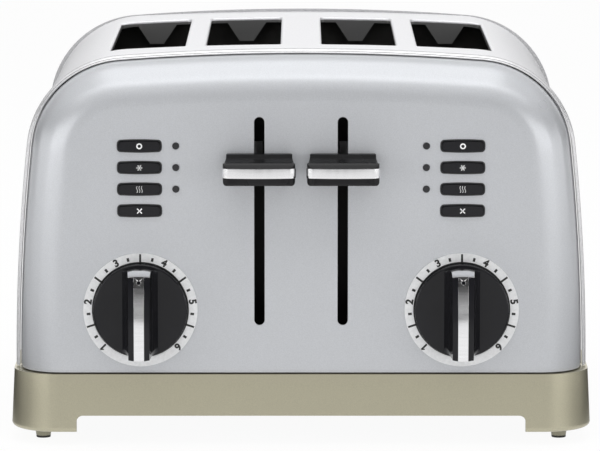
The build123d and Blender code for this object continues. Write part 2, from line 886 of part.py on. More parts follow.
# Carriages: bent plate with a sleeve on the guide rod, a lever stem and two rack legs
def make_carriage(side):
    front = -carriage_y
    back = -carriage_y + carriage_sheet
    left = slot_centres[0] - carriage_leg / 2
    right = slot_centres[1] + carriage_side
    with BuildPart() as carriage:
        low_x = min(left, lever_slot_x - stem_sheet / 2)
        block((side * low_x, side * right), (front, back), (carriage_low, carriage_high))
        for x in slot_centres:
            block(
                (side * (x - carriage_leg / 2), side * (x + carriage_leg / 2)), (front, back),
                (carriage_leg_low, carriage_high),
            )
        block(
            (side * (spring_x - hook_half), side * (spring_x + hook_half)), (front, back),
            (spring_low - hook_sheet, carriage_high),
        )
        block(
            (side * (spring_x - hook_half), side * (spring_x + hook_half)),
            (front, -spring_y + spring_r), (spring_low - hook_sheet, spring_low),
        )
        block(
            (side * lever_slot_x - stem_sheet / 2, side * lever_slot_x + stem_sheet / 2),
            (-panel_face - lever_gap - stem_bite, back),
            (lever_z - stem_height / 2, lever_z + stem_height / 2),
        )
        rod = [(side * rod_x, -rod_y)]
        upright(rod, rod_r + rod_fit + sleeve_wall, (sleeve_low, sleeve_high))
        upright(
            rod, rod_r + rod_fit, (sleeve_low - overcut, sleeve_high + overcut), Mode.SUBTRACT
        )
    return carriage


def make_guide_rods():
    with BuildPart() as rods:
        upright(both_sides(rod_x, -rod_y), rod_r, (plate_top, rod_top))
    return rods


def make_rod_top_bracket():
    with BuildPart() as bracket:
        block(
            (-bracket_half, bracket_half), (-chassis_outer - bracket_depth, -chassis_outer),
            (bracket_z, bracket_z + bracket_sheet),
        )
        upright(
            both_sides(rod_x, -rod_y), rod_r, (bracket_z - overcut, rod_top + overcut),
            Mode.SUBTRACT,
        )
    return bracket


def make_lift_spring(side):
    with BuildPart() as spring:
        place = [(side * spring_x, -spring_y)]
        upright(place, spring_r, (spring_low, bracket_z))
        upright(
            place, spring_bore, (spring_low - overcut, bracket_z + overcut), Mode.SUBTRACT
        )
    return spring


def make_latch_magnets():
    top = carriage_low - lever_down - magnet_gap
    with BuildPart() as magnets:
        for side in SIDES.values():
            block(
                (side * (magnet_x - magnet_half), side * (magnet_x + magnet_half)),
                (-carriage_y - magnet_reach, -carriage_y + magnet_reach), (plate_top, top),
            )
    return magnets


# Levers: black moulded thumb pieces with a bright band round the front
def lever_plan(side, grow):
    """Plan of the lever, wider at the front, with rounded front corners."""
    root = -panel_face - lever_gap
    tip = -panel_face - lever_reach
    x = side * lever_slot_x
    with BuildSketch(Plane.XY) as plan:
        left, right = x - lever_half - grow, x + lever_half + grow
        corner = tip + lever_bow - grow
        with BuildLine():
            ThreePointArc((left, corner), (x, tip - grow), (right, corner))
            Polyline(
                (right, corner), (right, tip + band_wrap), (x + lever_root_half + grow, root),
                (x - lever_root_half - grow, root), (left, tip + band_wrap), (left, corner),
            )
        make_face()
        fillet(plan.vertices().group_by(Axis.Y)[0], lever_round + grow)
    return plan.sketch


def make_lever(side):
    x = side * lever_slot_x
    root = -panel_face - lever_gap
    tip = -panel_face - lever_reach
    with BuildPart() as lever:
        underside = (root, lever_z - lever_low + lever_rise)
        belly = (tip + lever_belly, lever_z - lever_low)
        nose = (tip + lever_nose, lever_z + lever_nose_rise)
        ridge_foot = (root - lever_ridge, lever_z + lever_ridge_rise)
        ridge_top = (root - lever_ridge_top, lever_z + lever_high)
        with BuildSketch(Plane.YZ.offset(x)):
            with BuildLine():
                Line(underside, belly)
                ThreePointArc(belly, (tip, lever_z), nose)
                ThreePointArc(
                    nose, (tip + lever_scoop, lever_z + lever_scoop_rise), ridge_foot
                )
                Polyline(ridge_foot, ridge_top, (root, lever_z + lever_high), underside)
            make_face()
        extrude(amount=2 * lever_half, both=True)
        with BuildSketch(Plane.XY.offset(lever_z - 2 * lever_low)):
            add(lever_plan(side, 0))
        extrude(amount=4 * lever_high, mode=Mode.INTERSECT)
        with BuildSketch(across(root)):
            with Locations((x, lever_z + (lever_high - lever_low) / 2)):
                RectangleRounded(2 * lever_half, lever_low + lever_high, lever_end_round)
        extrude(amount=2 * lever_reach, mode=Mode.INTERSECT)
        with BuildSketch(Plane.XY.offset(lever_z - band_low)):
            add(lever_plan(side, overcut))
            add(lever_plan(side, band_proud - band_sheet), mode=Mode.SUBTRACT)
            with Locations((x, tip + band_wrap)):
                Rectangle(
                    4 * lever_half, 2 * lever_reach, align=(Align.CENTER, Align.MIN),
                    mode=Mode.SUBTRACT,
                )
        extrude(amount=band_low + band_high, mode=Mode.SUBTRACT)
        block(
            (x - stem_sheet / 2, x + stem_sheet / 2), (root - stem_bite, root + overcut),
            (lever_z - stem_height / 2, lever_z + stem_height / 2), Mode.SUBTRACT,
        )
    return lever


def make_lever_band(side):
    x = side * lever_slot_x
    tip = -panel_face - lever_reach
    with BuildPart() as band:
        with BuildSketch(Plane.XY.offset(lever_z - band_low)):
            add(lever_plan(side, band_proud))
            add(lever_plan(side, band_proud - band_sheet), mode=Mode.SUBTRACT)
            with Locations((x, tip + band_wrap)):
                Rectangle(
                    4 * lever_half, 2 * lever_reach, align=(Align.CENTER, Align.MIN),
                    mode=Mode.SUBTRACT,
                )
        extrude(amount=band_low + band_high)
    return band


# Browning controls: dial ring, knob with its bright strip, shaft, nut and control
def make_dial_rings():
    with BuildPart() as rings:
        with BuildSketch(across(-panel_face)):
            with Locations(*both_sides(knob_x, knob_z)):
                Circle(ring_r)
                Circle(knob_r + ring_gap, mode=Mode.SUBTRACT)
        extrude(amount=ring_sheet)
    return rings


def grip_side(x):
    """Side view of the grip bar: bowed crest, sloping pointing end, square tail."""
    slope = (knob_land - grip_end_height, knob_z + grip_length)
    head = (knob_head, knob_z + grip_crest_length)
    tail = (knob_tail, knob_z - grip_tail)
    with BuildSketch(Plane.YZ.offset(x)) as view:
        with BuildLine():
            ThreePointArc(head, (knob_crest, (head[1] + tail[1]) / 2), tail)
            Polyline(
                tail, (knob_back, tail[1]), (knob_back, slope[1]), slope, head
            )
        make_face()
    return view.sketch


def strip_side(x):
    """Side view of the bright strip, let into the crest and bent over the sloping end."""
    head = (knob_head + strip_sheet, knob_z + grip_crest_length - strip_sheet / 2)
    tail = (knob_tail + strip_sheet, knob_z - grip_tail)
    with BuildSketch(Plane.YZ.offset(x)) as view:
        with BuildLine():
            ThreePointArc(tail, (knob_crest + strip_sheet, (head[1] + tail[1]) / 2), head)
            Polyline(
                head, (head[0], knob_z + knob_r), (knob_front, knob_z + knob_r),
                (knob_front, tail[1]), tail,
            )
        make_face()
    return view.sketch


def strip_head(x):
    """Side view of the strip's head, which covers the sloping end from flank to flank."""
    root = (knob_land - grip_end_height, knob_z + grip_length - strip_sheet)
    head = (knob_head + strip_sheet, knob_z + grip_crest_length - strip_sheet / 2)
    with BuildSketch(Plane.YZ.offset(x)) as view:
        with BuildLine():
            Polyline(
                root, (root[0], knob_z + knob_r), (knob_front, knob_z + knob_r),
                (knob_front, head[1]), head, root,
            )
        make_face()
    return view.sketch


def grip_bar(side):
    """The raised land and the grip bar on it, before the bright strip is let in."""
    x = side * knob_x
    with BuildPart() as bar:
        with BuildSketch(Plane.XY.offset(knob_z - grip_tail)) as section:
            with BuildLine():
                for s in (-1, 1):
                    ThreePointArc(
                        (x + s * land_half, knob_land),
                        (x + s * (grip_half + grip_flare), knob_land - grip_waist / 2),
                        (x + s * grip_half, knob_land - grip_waist),
                    )
                    Polyline(
                        (x + s * grip_half, knob_land - grip_waist),
                        (x + s * grip_crest, knob_front), (x, knob_front),
                    )
                Line((x - land_half, knob_land), (x + land_half, knob_land))
            make_face()
        extrude(section.sketch, amount=grip_tail + grip_length)
        extrude(grip_side(x), amount=2 * land_half, both=True, mode=Mode.INTERSECT)
        disc = (knob_front, knob_back)
        lengthwise([(x, knob_z)], knob_r - grip_margin, disc, Mode.INTERSECT)
    return bar.part


def strip_room(side):
    """Room for the strip: a narrow band along the crest and a head as wide as the grip."""
    x = side * knob_x
    with BuildPart() as room:
        extrude(strip_side(x), amount=strip_half, both=True)
        extrude(strip_head(x), amount=land_half, both=True)
    return room.part


def make_knob(side):
    x = side * knob_x
    axis = [(x, knob_z)]
    with BuildPart() as knob:
        add(grip_bar(side))
        with BuildSketch(Plane.XY.offset(knob_z - knob_r)) as land:
            with Locations((x, knob_land)):
                Rectangle(2 * land_half, knob_back - knob_land, align=(Align.CENTER, Align.MIN))
        extrude(land.sketch, amount=2 * knob_r)
        disc = (knob_front, knob_back)
        lengthwise(axis, knob_r - grip_margin, disc, Mode.INTERSECT)
        lengthwise(axis, knob_r, (knob_back - knob_disc, knob_back))
        circles = knob.edges().filter_by(GeomType.CIRCLE)
        rims = circles.filter_by(lambda e: abs(e.radius - knob_r) < knob_edge / 4)
        fillet(rims.sort_by(Axis.Y)[0], knob_edge)
        room = (knob_back - nut_height - nut_gap, knob_back + overcut)
        lengthwise(axis, nut_room, room, Mode.SUBTRACT)
        lengthwise(axis, shaft_r, (-shaft_front, knob_back + overcut), Mode.SUBTRACT)
        add(strip_room(side), mode=Mode.SUBTRACT)
    return knob


def make_knob_strip(side):
    with BuildPart() as strip:
        add(grip_bar(side))
        add(strip_room(side), mode=Mode.INTERSECT)
        lengthwise(
            [(side * knob_x, knob_z + pointer_dot_z)], pointer_dot_r,
            (knob_front, knob_land), Mode.SUBTRACT,
        )
    return strip


def make_knob_shaft(side):
    with BuildPart() as shaft:
        lengthwise([(side * knob_x, knob_z)], shaft_r, (-shaft_front, -shaft_back))
    return shaft


def make_browning_controls():
    with BuildPart() as controls:
        for side in SIDES.values():
            x = side * knob_x
            block(
                (x - control_half, x + control_half), (-control_front, -control_back),
                (knob_z - control_half, knob_z + control_half),
            )
        axes = both_sides(knob_x, knob_z)
        lengthwise(axes, bush_r, (-panel_face - nut_height, -control_front))
        lengthwise(
            axes, shaft_r + shaft_fit, (-panel_face - nut_height - overcut, -shaft_back),
            Mode.SUBTRACT,
        )
    return controls


def make_control_nuts():
    with BuildPart() as nuts:
        for side in SIDES.values():
            with BuildSketch(across(-panel_face)):
                with Locations((side * knob_x, knob_z)):
                    RegularPolygon(nut_flats / 2, 6, major_radius=False)
                    Circle(bush_r, mode=Mode.SUBTRACT)
            extrude(amount=nut_height)
    return nuts


# Buttons, their frames, the indicator lights and the circuit boards
def make_button(side, z):
    face = panel_face + button_proud
    with BuildPart() as button:
        with BuildSketch(across(-frame_back)):
            add(button_outline(side, z, 0))
        extrude(amount=face - frame_back)
        with BuildSketch(across(-frame_back + button_flange_sheet)):
            add(button_outline(side, z, button_fit + button_flange))
        extrude(amount=button_flange_sheet)
        lengthwise(
            [(side * button_x, z)], button_stem_r,
            (-frame_back, -circuit_y - switch_height - switch_gap - button_travel),
        )
    return button


def make_button_frames():
    with BuildPart() as frames:
        for side in SIDES.values():
            x = side * button_x
            block(
                (x - button_frame_half, x + button_frame_half), (-frame_front, -frame_back),
                (button_frame_low, button_frame_high),
            )
        with BuildSketch(across(-frame_front)):
            for side in SIDES.values():
                for z in button_heights:
                    add(button_outline(side, z, surround))
        extrude(amount=panel_sheet + surround_proud)
        with BuildSketch(across(-frame_back + overcut)):
            for side in SIDES.values():
                for z in button_heights:
                    add(button_outline(side, z, button_fit))
                with Locations(*[(side * light_x, z) for z in light_heights]):
                    Circle(light_r + light_fit)
        through = panel_sheet + button_frame_sheet + surround_proud + 2 * overcut
        extrude(amount=through, mode=Mode.SUBTRACT)
        reach = button_frame_half - standoff_inset
        places = [
            (x + dx, z) for x in (-button_x, button_x) for dx in (-reach, reach)
            for z in (button_frame_low + standoff_inset, button_frame_high - standoff_inset)
        ]
        lengthwise(places, standoff_r, (-frame_back, -circuit_y))
    return frames


def make_indicator_lenses():
    places = [(side * light_x, z) for side in SIDES.values() for z in light_heights]
    with BuildPart() as lenses:
        lengthwise(places, light_r, (-panel_face - light_proud, -circuit_y))
    return lenses


def make_control_boards():
    with BuildPart() as boards:
        for side in SIDES.values():
            x = side * button_x
            block(
                (x - button_frame_half, x + button_frame_half),
                (-circuit_y, -circuit_y + circuit_sheet),
                (button_frame_low - circuit_margin, button_frame_high),
            )
        with BuildSketch(across(-circuit_y)):
            with Locations(*[(s * button_x, z) for s in SIDES.values() for z in button_heights]):
                Rectangle(2 * switch_half, 2 * switch_half)
        extrude(amount=switch_height)
    return boards


# Crumb tray: shallow steel drawer with a moulded end, drawn out at the back
def make_crumb_tray():
    back = skirt_half_y - skirt_wall
    with BuildPart() as tray:
        block((-tray_half, tray_half), (-tray_front, back), (tray_z, tray_z + tray_height))
        block(
            (-tray_half + tray_sheet, tray_half - tray_sheet),
            (-tray_front + tray_sheet, back - tray_sheet),
            (tray_z + tray_sheet, tray_z + 2 * tray_height), Mode.SUBTRACT,
        )
    return tray


def make_crumb_tray_handle():
    back = skirt_half_y - skirt_wall
    with BuildPart() as handle:
        block(
            (-tray_half, tray_half), (back, back + tray_end_sheet),
            (tray_z, tray_z + tray_end_height),
        )
        middle = tray_z + tray_end_height / 2
        block(
            (-tray_pull_half, tray_pull_half),
            (back + tray_end_sheet, back + tray_end_sheet + tray_pull_reach),
            (middle - tray_pull_sheet / 2, middle + tray_pull_sheet / 2),
        )
    return handle


# Cord inlet: grommet in the back panel, and the terminal block inside
def make_cord_grommet():
    axis = [(grommet_x, grommet_z)]
    inside = panel_face - grommet_inside
    with BuildPart() as grommet:
        lengthwise(axis, grommet_r, (inside, panel_face + grommet_flange))
        lengthwise(axis, grommet_flange_r, (panel_face, panel_face + grommet_flange))
        lengthwise(axis, grommet_flange_r, (inside, panel_inner))
        lengthwise(
            axis, grommet_bore, (inside - overcut, panel_face + grommet_flange + overcut),
            Mode.SUBTRACT,
        )
    return grommet


def make_terminal_block():
    with BuildPart() as terminals:
        block(
            (terminal_x - terminal_half_x, terminal_x + terminal_half_x),
            (chassis_outer, chassis_outer + terminal_depth), (terminal_low, terminal_high),
        )
    return terminals


os.makedirs("parts", exist_ok=True)
save(make_base_skirt(), "base_skirt")
save(make_feet(), "feet")
save(make_foot_tips(), "foot_tips")
save(make_base_plate(), "base_plate")
save(make_base_screws(), "base_screws")
save(make_body_wrap(), "body_wrap")
save(make_front_panel(), "front_panel")
save(make_back_panel(), "back_panel")
save(make_rim_trim(False), "front_rim_trim")
save(make_rim_trim(True), "back_rim_trim")
save(make_chassis_plate(False), "front_chassis_plate")
save(make_chassis_plate(True), "back_chassis_plate")
save(make_oven_top_frame(), "oven_top_frame")
save(make_side_heat_shields(), "side_heat_shields")
save(make_heater_boards(), "heater_boards")
save(make_heating_ribbons(), "heating_ribbons")
save(make_guide_rods(), "guide_rods")
save(make_rod_top_bracket(), "rod_top_bracket")
save(make_latch_magnets(), "latch_magnets")
save(make_dial_rings(), "dial_rings")
save(make_browning_controls(), "browning_controls")
save(make_control_nuts(), "control_nuts")
save(make_button_frames(), "button_frames")
save(make_indicator_lenses(), "indicator_lenses")
save(make_control_boards(), "control_boards")
save(make_crumb_tray(), "crumb_tray")
save(make_crumb_tray_handle(), "crumb_tray_handle")
save(make_cord_grommet(), "cord_grommet")
save(make_terminal_block(), "terminal_block")

rack = 0
for name, side in SIDES.items():
    for x in slot_centres[::side]:
        rack += 1
        save(make_bread_rack(side * x), f"bread_rack_{rack}")
    save(make_guards(side, 1), f"{name}_inner_guards")
    save(make_guards(side, -1), f"{name}_outer_guards")
    save(make_carriage(side), f"{name}_carriage")
    save(make_lift_spring(side), f"{name}_lift_spring")
    save(make_lever(side), f"{name}_lever")
    save(make_lever_band(side), f"{name}_lever_band")
    save(make_knob(side), f"{name}_knob")
    save(make_knob_strip(side), f"{name}_knob_strip")
    save(make_knob_shaft(side), f"{name}_knob_shaft")
    for i, z in enumerate(reversed(button_heights)):
        save(make_button(side, z), f"{name}_button_{i + 1}")
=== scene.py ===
import json
import math
import bpy
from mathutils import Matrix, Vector

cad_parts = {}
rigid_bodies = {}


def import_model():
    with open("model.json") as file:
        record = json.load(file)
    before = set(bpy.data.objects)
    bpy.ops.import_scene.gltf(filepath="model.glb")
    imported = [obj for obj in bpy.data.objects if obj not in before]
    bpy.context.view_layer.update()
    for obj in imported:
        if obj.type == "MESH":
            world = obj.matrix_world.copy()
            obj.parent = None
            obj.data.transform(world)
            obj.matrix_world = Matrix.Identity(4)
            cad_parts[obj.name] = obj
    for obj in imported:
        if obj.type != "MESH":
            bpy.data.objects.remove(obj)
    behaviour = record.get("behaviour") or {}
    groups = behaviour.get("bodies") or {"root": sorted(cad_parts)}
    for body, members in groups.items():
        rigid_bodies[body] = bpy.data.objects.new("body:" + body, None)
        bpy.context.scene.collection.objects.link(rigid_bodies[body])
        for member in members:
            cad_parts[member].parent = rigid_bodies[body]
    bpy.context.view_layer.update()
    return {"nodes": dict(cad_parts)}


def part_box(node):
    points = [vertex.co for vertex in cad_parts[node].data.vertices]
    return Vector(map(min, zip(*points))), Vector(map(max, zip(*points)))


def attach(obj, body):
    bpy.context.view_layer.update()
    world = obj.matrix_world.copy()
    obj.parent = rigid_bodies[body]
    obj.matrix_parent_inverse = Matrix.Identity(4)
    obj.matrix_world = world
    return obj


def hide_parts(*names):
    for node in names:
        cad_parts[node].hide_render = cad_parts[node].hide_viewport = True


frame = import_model()
nodes = frame["nodes"]
sides = {"left": -1, "right": 1}


# Camera, a little above the toaster and square to its front, with a long lens as in the
# product photograph.
bpy.ops.object.camera_add(
    location=(-0.0005, -2.0913, 0.3879), rotation=(math.radians(81.795), 0, 0)
)
camera = bpy.context.object
camera.data.sensor_width = 36
camera.data.lens = 260.4
bpy.context.scene.camera = camera
bpy.context.scene.view_settings.view_transform = "Standard"


# The table: a white sheet of paper that runs on behind the toaster and keeps its soft shadow.
# What shiny faces mirror of it is painted light and shade, in its colour and in a glow that
# camera, glossy and transmission rays see: painted light in front and out to the sides, a
# painted shadow close beside and under the toaster, and a painted falloff towards the camera.
def new_finish(name):
    """A new material with its nodes, links and shader."""
    finish = bpy.data.materials.new(name)
    finish.use_nodes = True
    tree = finish.node_tree
    return finish, tree.nodes, tree.links, tree.nodes["Principled BSDF"]


def sums(n, l, operation, one, other):
    """One step of arithmetic, on sockets or numbers."""
    step = n.new("ShaderNodeMath")
    step.operation = operation
    for socket, value in zip(step.inputs, (one, other)):
        if isinstance(value, (int, float)):
            socket.default_value = value
        else:
            l.new(value, socket)
    return step.outputs[0]


def larger(n, l, one, other):
    """The larger of two values."""
    return sums(n, l, "MAXIMUM", one, other)


def spread(n, l, value, old, new):
    """A value mapped smoothly from one range to another, and held at its ends."""
    ease = n.new("ShaderNodeMapRange")
    ease.interpolation_type = "SMOOTHSTEP"
    for socket, number in zip(("From Min", "From Max", "To Min", "To Max"), (*old, *new)):
        ease.inputs[socket].default_value = number
    l.new(value, ease.inputs["Value"])
    return ease.outputs["Result"]


paper_size = 9
glow_share = 0.93
bpy.ops.mesh.primitive_plane_add(size=paper_size, location=(0, 1.5, 0))
paper = bpy.context.object
paper.name = "paper"
bpy.ops.object.mode_set(mode="EDIT")
bpy.ops.mesh.select_all(action="SELECT")
bpy.ops.mesh.subdivide(number_cuts=1)
bpy.ops.object.mode_set(mode="OBJECT")
bpy.ops.object.transform_apply(location=True, rotation=True, scale=True)
paper_painted_light, n, l, shader = new_finish("paper with painted light and shade")
path = n.new("ShaderNodeLightPath")
place = n.new("ShaderNodeTexCoord")
apart = n.new("ShaderNodeSeparateXYZ")
l.new(place.outputs["Object"], apart.inputs[0])
along, aside = apart.outputs["Y"], sums(n, l, "ABSOLUTE", apart.outputs["X"], 0)
# Painted light and shade on the paper: light in front, a painted shadow beside and under the
# toaster.
front = spread(n, l, along, (-1.9, -1.0), (0.02, 0.9))
painted_shade_under = spread(n, l, along, (-0.14, 0.1), (1.0, 0.15))
painted_shadow_beside = sums(
    n, l, "MULTIPLY", spread(n, l, aside, (0.13, 0.2), (0.0, 0.9)),
    spread(n, l, along, (-0.35, -0.2), (0.0, 1.0)),
)
beyond = spread(n, l, along, (0.12, 0.5), (0.02, 0.15))
wings = spread(n, l, aside, (0.35, 0.55), (0.02, 0.8))
painted_light = sums(n, l, "MULTIPLY", front, painted_shade_under)
painted_light = sums(n, l, "MULTIPLY", painted_light, sums(n, l, "SUBTRACT", 1, painted_shadow_beside))
painted_light = larger(n, l, larger(n, l, painted_light, wings), beyond)
painted_light = larger(n, l, painted_light, path.outputs["Is Camera Ray"])
tone = n.new("ShaderNodeCombineColor")
for channel in ("Red", "Green", "Blue"):
    l.new(painted_light, tone.inputs[channel])
l.new(tone.outputs[0], shader.inputs["Base Color"])
shader.inputs["Roughness"].default_value = 0.9
# The paper glows with its painted light for camera, glossy and transmission rays.
glow = n.new("ShaderNodeEmission")
l.new(tone.outputs[0], glow.inputs["Color"])
glow.inputs["Strength"].default_value = 1.0
shown = larger(n, l, path.outputs["Is Camera Ray"], path.outputs["Is Glossy Ray"])
shown = larger(n, l, shown, path.outputs["Is Transmission Ray"])
blend = n.new("ShaderNodeMixShader")
l.new(sums(n, l, "MULTIPLY", shown, glow_share), blend.inputs["Fac"])
l.new(shader.outputs[0], blend.inputs[1])
l.new(glow.outputs[0], blend.inputs[2])
l.new(blend.outputs[0], n["Material Output"].inputs["Surface"])
paper.data.materials.append(paper_painted_light)

# The room: bright above and behind, dim at the sides and dark behind the camera.
world = bpy.data.worlds.new("studio")
world.use_nodes = True
bpy.context.scene.world = world
n, l = world.node_tree.nodes, world.node_tree.links
place = n.new("ShaderNodeTexCoord")
apart = n.new("ShaderNodeSeparateXYZ")
l.new(place.outputs["Generated"], apart.inputs[0])
above = spread(n, l, apart.outputs["Z"], (0.2, 0.8), (0.04, 0.8))
behind = spread(n, l, apart.outputs["Y"], (0.65, 0.95), (0.04, 1.35))
high = spread(n, l, apart.outputs["Z"], (0.0, 0.2), (0.05, 1.0))
rear = sums(n, l, "MULTIPLY", behind, high)
ahead = spread(n, l, apart.outputs["Y"], (-0.4, 0.0), (1.0, 0.0))
low = spread(n, l, apart.outputs["Z"], (0.0, 0.13), (0.45, 0.04))
background = n["Background"]
bright = larger(n, l, larger(n, l, above, rear), sums(n, l, "MULTIPLY", ahead, low))
l.new(bright, background.inputs["Strength"])
background.inputs["Color"].default_value = (1, 1, 1, 1)
white = n.new("ShaderNodeBackground")
white.inputs["Strength"].default_value = 1.0
blend = n.new("ShaderNodeMixShader")
path = n.new("ShaderNodeLightPath")
l.new(path.outputs["Is Camera Ray"], blend.inputs["Fac"])
l.new(background.outputs[0], blend.inputs[1])
l.new(white.outputs[0], blend.inputs[2])
l.new(blend.outputs[0], n["World Output"].inputs["Surface"])


# Studio lights: softboxes overhead and in front, and a smaller pair on each side.
def softbox(name, place, aim, size, power):
    """Rectangular studio light that points at a spot."""
    bpy.ops.object.light_add(type="AREA", location=place)
    lamp = bpy.context.object
    lamp.name = name
    lamp.data.shape = "RECTANGLE"
    lamp.data.size, lamp.data.size_y = size
    lamp.data.energy = power
    turn = (Vector(aim) - Vector(place)).to_track_quat("-Z", "Y")
    lamp.rotation_euler = turn.to_euler()
    return lamp


softbox("overhead softbox", (0, -0.2, 1.4), (0, -0.2, 0), (1.2, 1.6), 7.2)
softbox("top strip light", (0, -0.86, 1.3), (0, 0, 0.1), (2.4, 0.3), 2.3)
front_box = softbox("front softbox", (0, -2.6, 1.0), (0, 0, 0.1), (3.2, 1.6), 13)
front_box.visible_glossy = False
softbox("left softbox", (-1.1, -1.1, 0.3), (0, 0, 0.1), (1.0, 0.5), 3.2)
softbox("right softbox", (1.1, -1.1, 0.3), (0, 0, 0.1), (1.0, 0.5), 3.2)
softbox("left fill", (-1.4, -0.2, 0.22), (0, 0, 0.1), (1.2, 0.4), 1.8)
softbox("right fill", (1.4, -0.2, 0.22), (0, 0, 0.1), (1.2, 0.4), 1.8)


# Body wrap: one sheet of steel over both sides and the top, with lips rolled down into the
# four bread slots. It is sprayed with a pale silver paint and stoved.
def dress(finish, *names):
    """Give CAD nodes a finish."""
    for name in names:
        mesh = nodes[name].data
        mesh.materials.clear()
        mesh.materials.append(finish)


def noise(n, l, scale, detail=2.0, stretch=(1, 1, 1)):
    """Noise on object coordinates, so many cells to the metre, stretched along an axis."""
    place = n.new("ShaderNodeTexCoord")
    mapping = n.new("ShaderNodeMapping")
    mapping.inputs["Scale"].default_value = stretch
    cloud = n.new("ShaderNodeTexNoise")
    cloud.inputs["Scale"].default_value = scale
    cloud.inputs["Detail"].default_value = detail
    l.new(place.outputs["Object"], mapping.inputs["Vector"])
    l.new(mapping.outputs[0], cloud.inputs["Vector"])
    return cloud.outputs["Fac"]


noise_low = 0.3
noise_high = 0.7


def between(n, l, value, low, high):
    """A noise value, which runs from 0.3 to 0.7, spread over a wanted range."""
    widen = n.new("ShaderNodeMapRange")
    widen.inputs["From Min"].default_value = noise_low
    widen.inputs["From Max"].default_value = noise_high
    widen.inputs["To Min"].default_value = low
    widen.inputs["To Max"].default_value = high
    l.new(value, widen.inputs["Value"])
    return widen.outputs["Result"]


def shades(n, l, value, dark, light):
    """A colour between two shades, picked by a noise value."""
    ramp = n.new("ShaderNodeValToRGB")
    ramp.color_ramp.elements[0].position = noise_low
    ramp.color_ramp.elements[0].color = (*dark, 1)
    ramp.color_ramp.elements[1].position = noise_high
    ramp.color_ramp.elements[1].color = (*light, 1)
    l.new(value, ramp.inputs["Fac"])
    return ramp.outputs["Color"]


def roughen(n, l, value, shader, depth, strength=1.0):
    """Bump of a given depth in metres, from a noise value."""
    bump = n.new("ShaderNodeBump")
    bump.inputs["Strength"].default_value = strength
    bump.inputs["Distance"].default_value = depth
    l.new(value, bump.inputs["Height"])
    l.new(bump.outputs["Normal"], shader.inputs["Normal"])


def shade(colour, factor):
    """A colour made darker or lighter by a factor."""
    return tuple(min(1.0, c * factor) for c in colour)


def sprayed_paint(name, colour, roughness, metallic, coat):
    """Stoved metallic paint: fine flake, a trace of orange peel and a slow drift of tone."""
    finish, n, l, shader = new_finish(name)
    flake = noise(n, l, 2600, 1)
    drift = noise(n, l, 9, 3)
    fine = shades(n, l, flake, shade(colour, 0.94), shade(colour, 1.05))
    slow = shades(n, l, drift, (0.985, 0.985, 0.985), (1.0, 1.0, 1.0))
    mix = n.new("ShaderNodeMix")
    mix.data_type = "RGBA"
    mix.blend_type = "MULTIPLY"
    mix.inputs["Factor"].default_value = 1.0
    l.new(fine, mix.inputs["A"])
    l.new(slow, mix.inputs["B"])
    l.new(mix.outputs["Result"], shader.inputs["Base Color"])
    l.new(between(n, l, drift, roughness - 0.03, roughness + 0.03), shader.inputs["Roughness"])
    shader.inputs["Metallic"].default_value = metallic
    shader.inputs["Coat Weight"].default_value = coat
    shader.inputs["Coat Roughness"].default_value = 0.12
    roughen(n, l, noise(n, l, 420, 2), shader, 0.000012)
    return finish


pale_silver = sprayed_paint("pale silver paint", (0.77, 0.77, 0.79), 0.36, 0.4, 0.1)
dress(pale_silver, "body_wrap")

# Inside the slots' lips the paint stops; the dark grey there is partly the bare sheet and
# partly painted shade down in the slots. The crown sinks by x squared over wrap_bow to each
# side.
wrap_top = 0.181
wrap_bow = 3.04
paint_stops = 0.0012
paint_fades = 0.0004
slots_half_x = 0.0925
slots_half_y = 0.0775
bare_sheet_and_shade = (0.17, 0.17, 0.17, 1)
n, l = pale_silver.node_tree.nodes, pale_silver.node_tree.links
shader = n["Principled BSDF"]
painted = shader.inputs["Base Color"].links[0].from_socket
place = n.new("ShaderNodeTexCoord")
apart = n.new("ShaderNodeSeparateXYZ")
l.new(place.outputs["Object"], apart.inputs[0])


sag = sums(n, l, "DIVIDE", sums(n, l, "MULTIPLY", apart.outputs["X"], apart.outputs["X"]), wrap_bow)
depth = sums(n, l, "SUBTRACT", wrap_top, sums(n, l, "ADD", apart.outputs["Z"], sag))
# Mask of the bare sheet and painted shade below the lips inside the slots.
bare = spread(n, l, depth, (paint_stops, paint_stops + paint_fades), (0.0, 1.0))
across = sums(n, l, "LESS_THAN", sums(n, l, "ABSOLUTE", apart.outputs["X"], 0), slots_half_x)
along = sums(n, l, "LESS_THAN", sums(n, l, "ABSOLUTE", apart.outputs["Y"], 0), slots_half_y)
bare = sums(n, l, "MULTIPLY", bare, sums(n, l, "MULTIPLY", across, along))
mix = n.new("ShaderNodeMix")
mix.data_type = "RGBA"
l.new(bare, mix.inputs["Factor"])
l.new(painted, mix.inputs["A"])
mix.inputs["B"].default_value = bare_sheet_and_shade
l.new(mix.outputs["Result"], shader.inputs["Base Color"])


# End panels: deep-drawn steel covers with a broad rolled edge, in a silver-grey metallic
# paint a shade darker than the wrap.
silver_grey = sprayed_paint("silver grey paint", (0.553, 0.566, 0.59), 0.3, 0.3, 0.08)
dress(silver_grey, "front_panel", "back_panel")


# Rim trims: polished mouldings between the wrap and the panels, each with a groove along it,
# and a darker grey along its back edge that is painted shade of the crease against the wrap.
# Their profile is a list of (outwards, away from the wrap) in millimetres, drawn along the
# arch that the panels follow: side arcs, shoulder arcs and a crown arc.
def polished(name, colour, roughness, stretch):
    """Polished metal with very fine lines along one direction."""
    finish, n, l, shader = new_finish(name)
    lines = noise(n, l, 700, 3, stretch)
    l.new(
        shades(n, l, lines, shade(colour, 0.93), shade(colour, 1.04)),
        shader.inputs["Base Color"],
    )
    l.new(between(n, l, lines, roughness - 0.02, roughness + 0.04), shader.inputs["Roughness"])
    shader.inputs["Metallic"].default_value = 1.0
    roughen(n, l, lines, shader, 0.000004)
    return finish


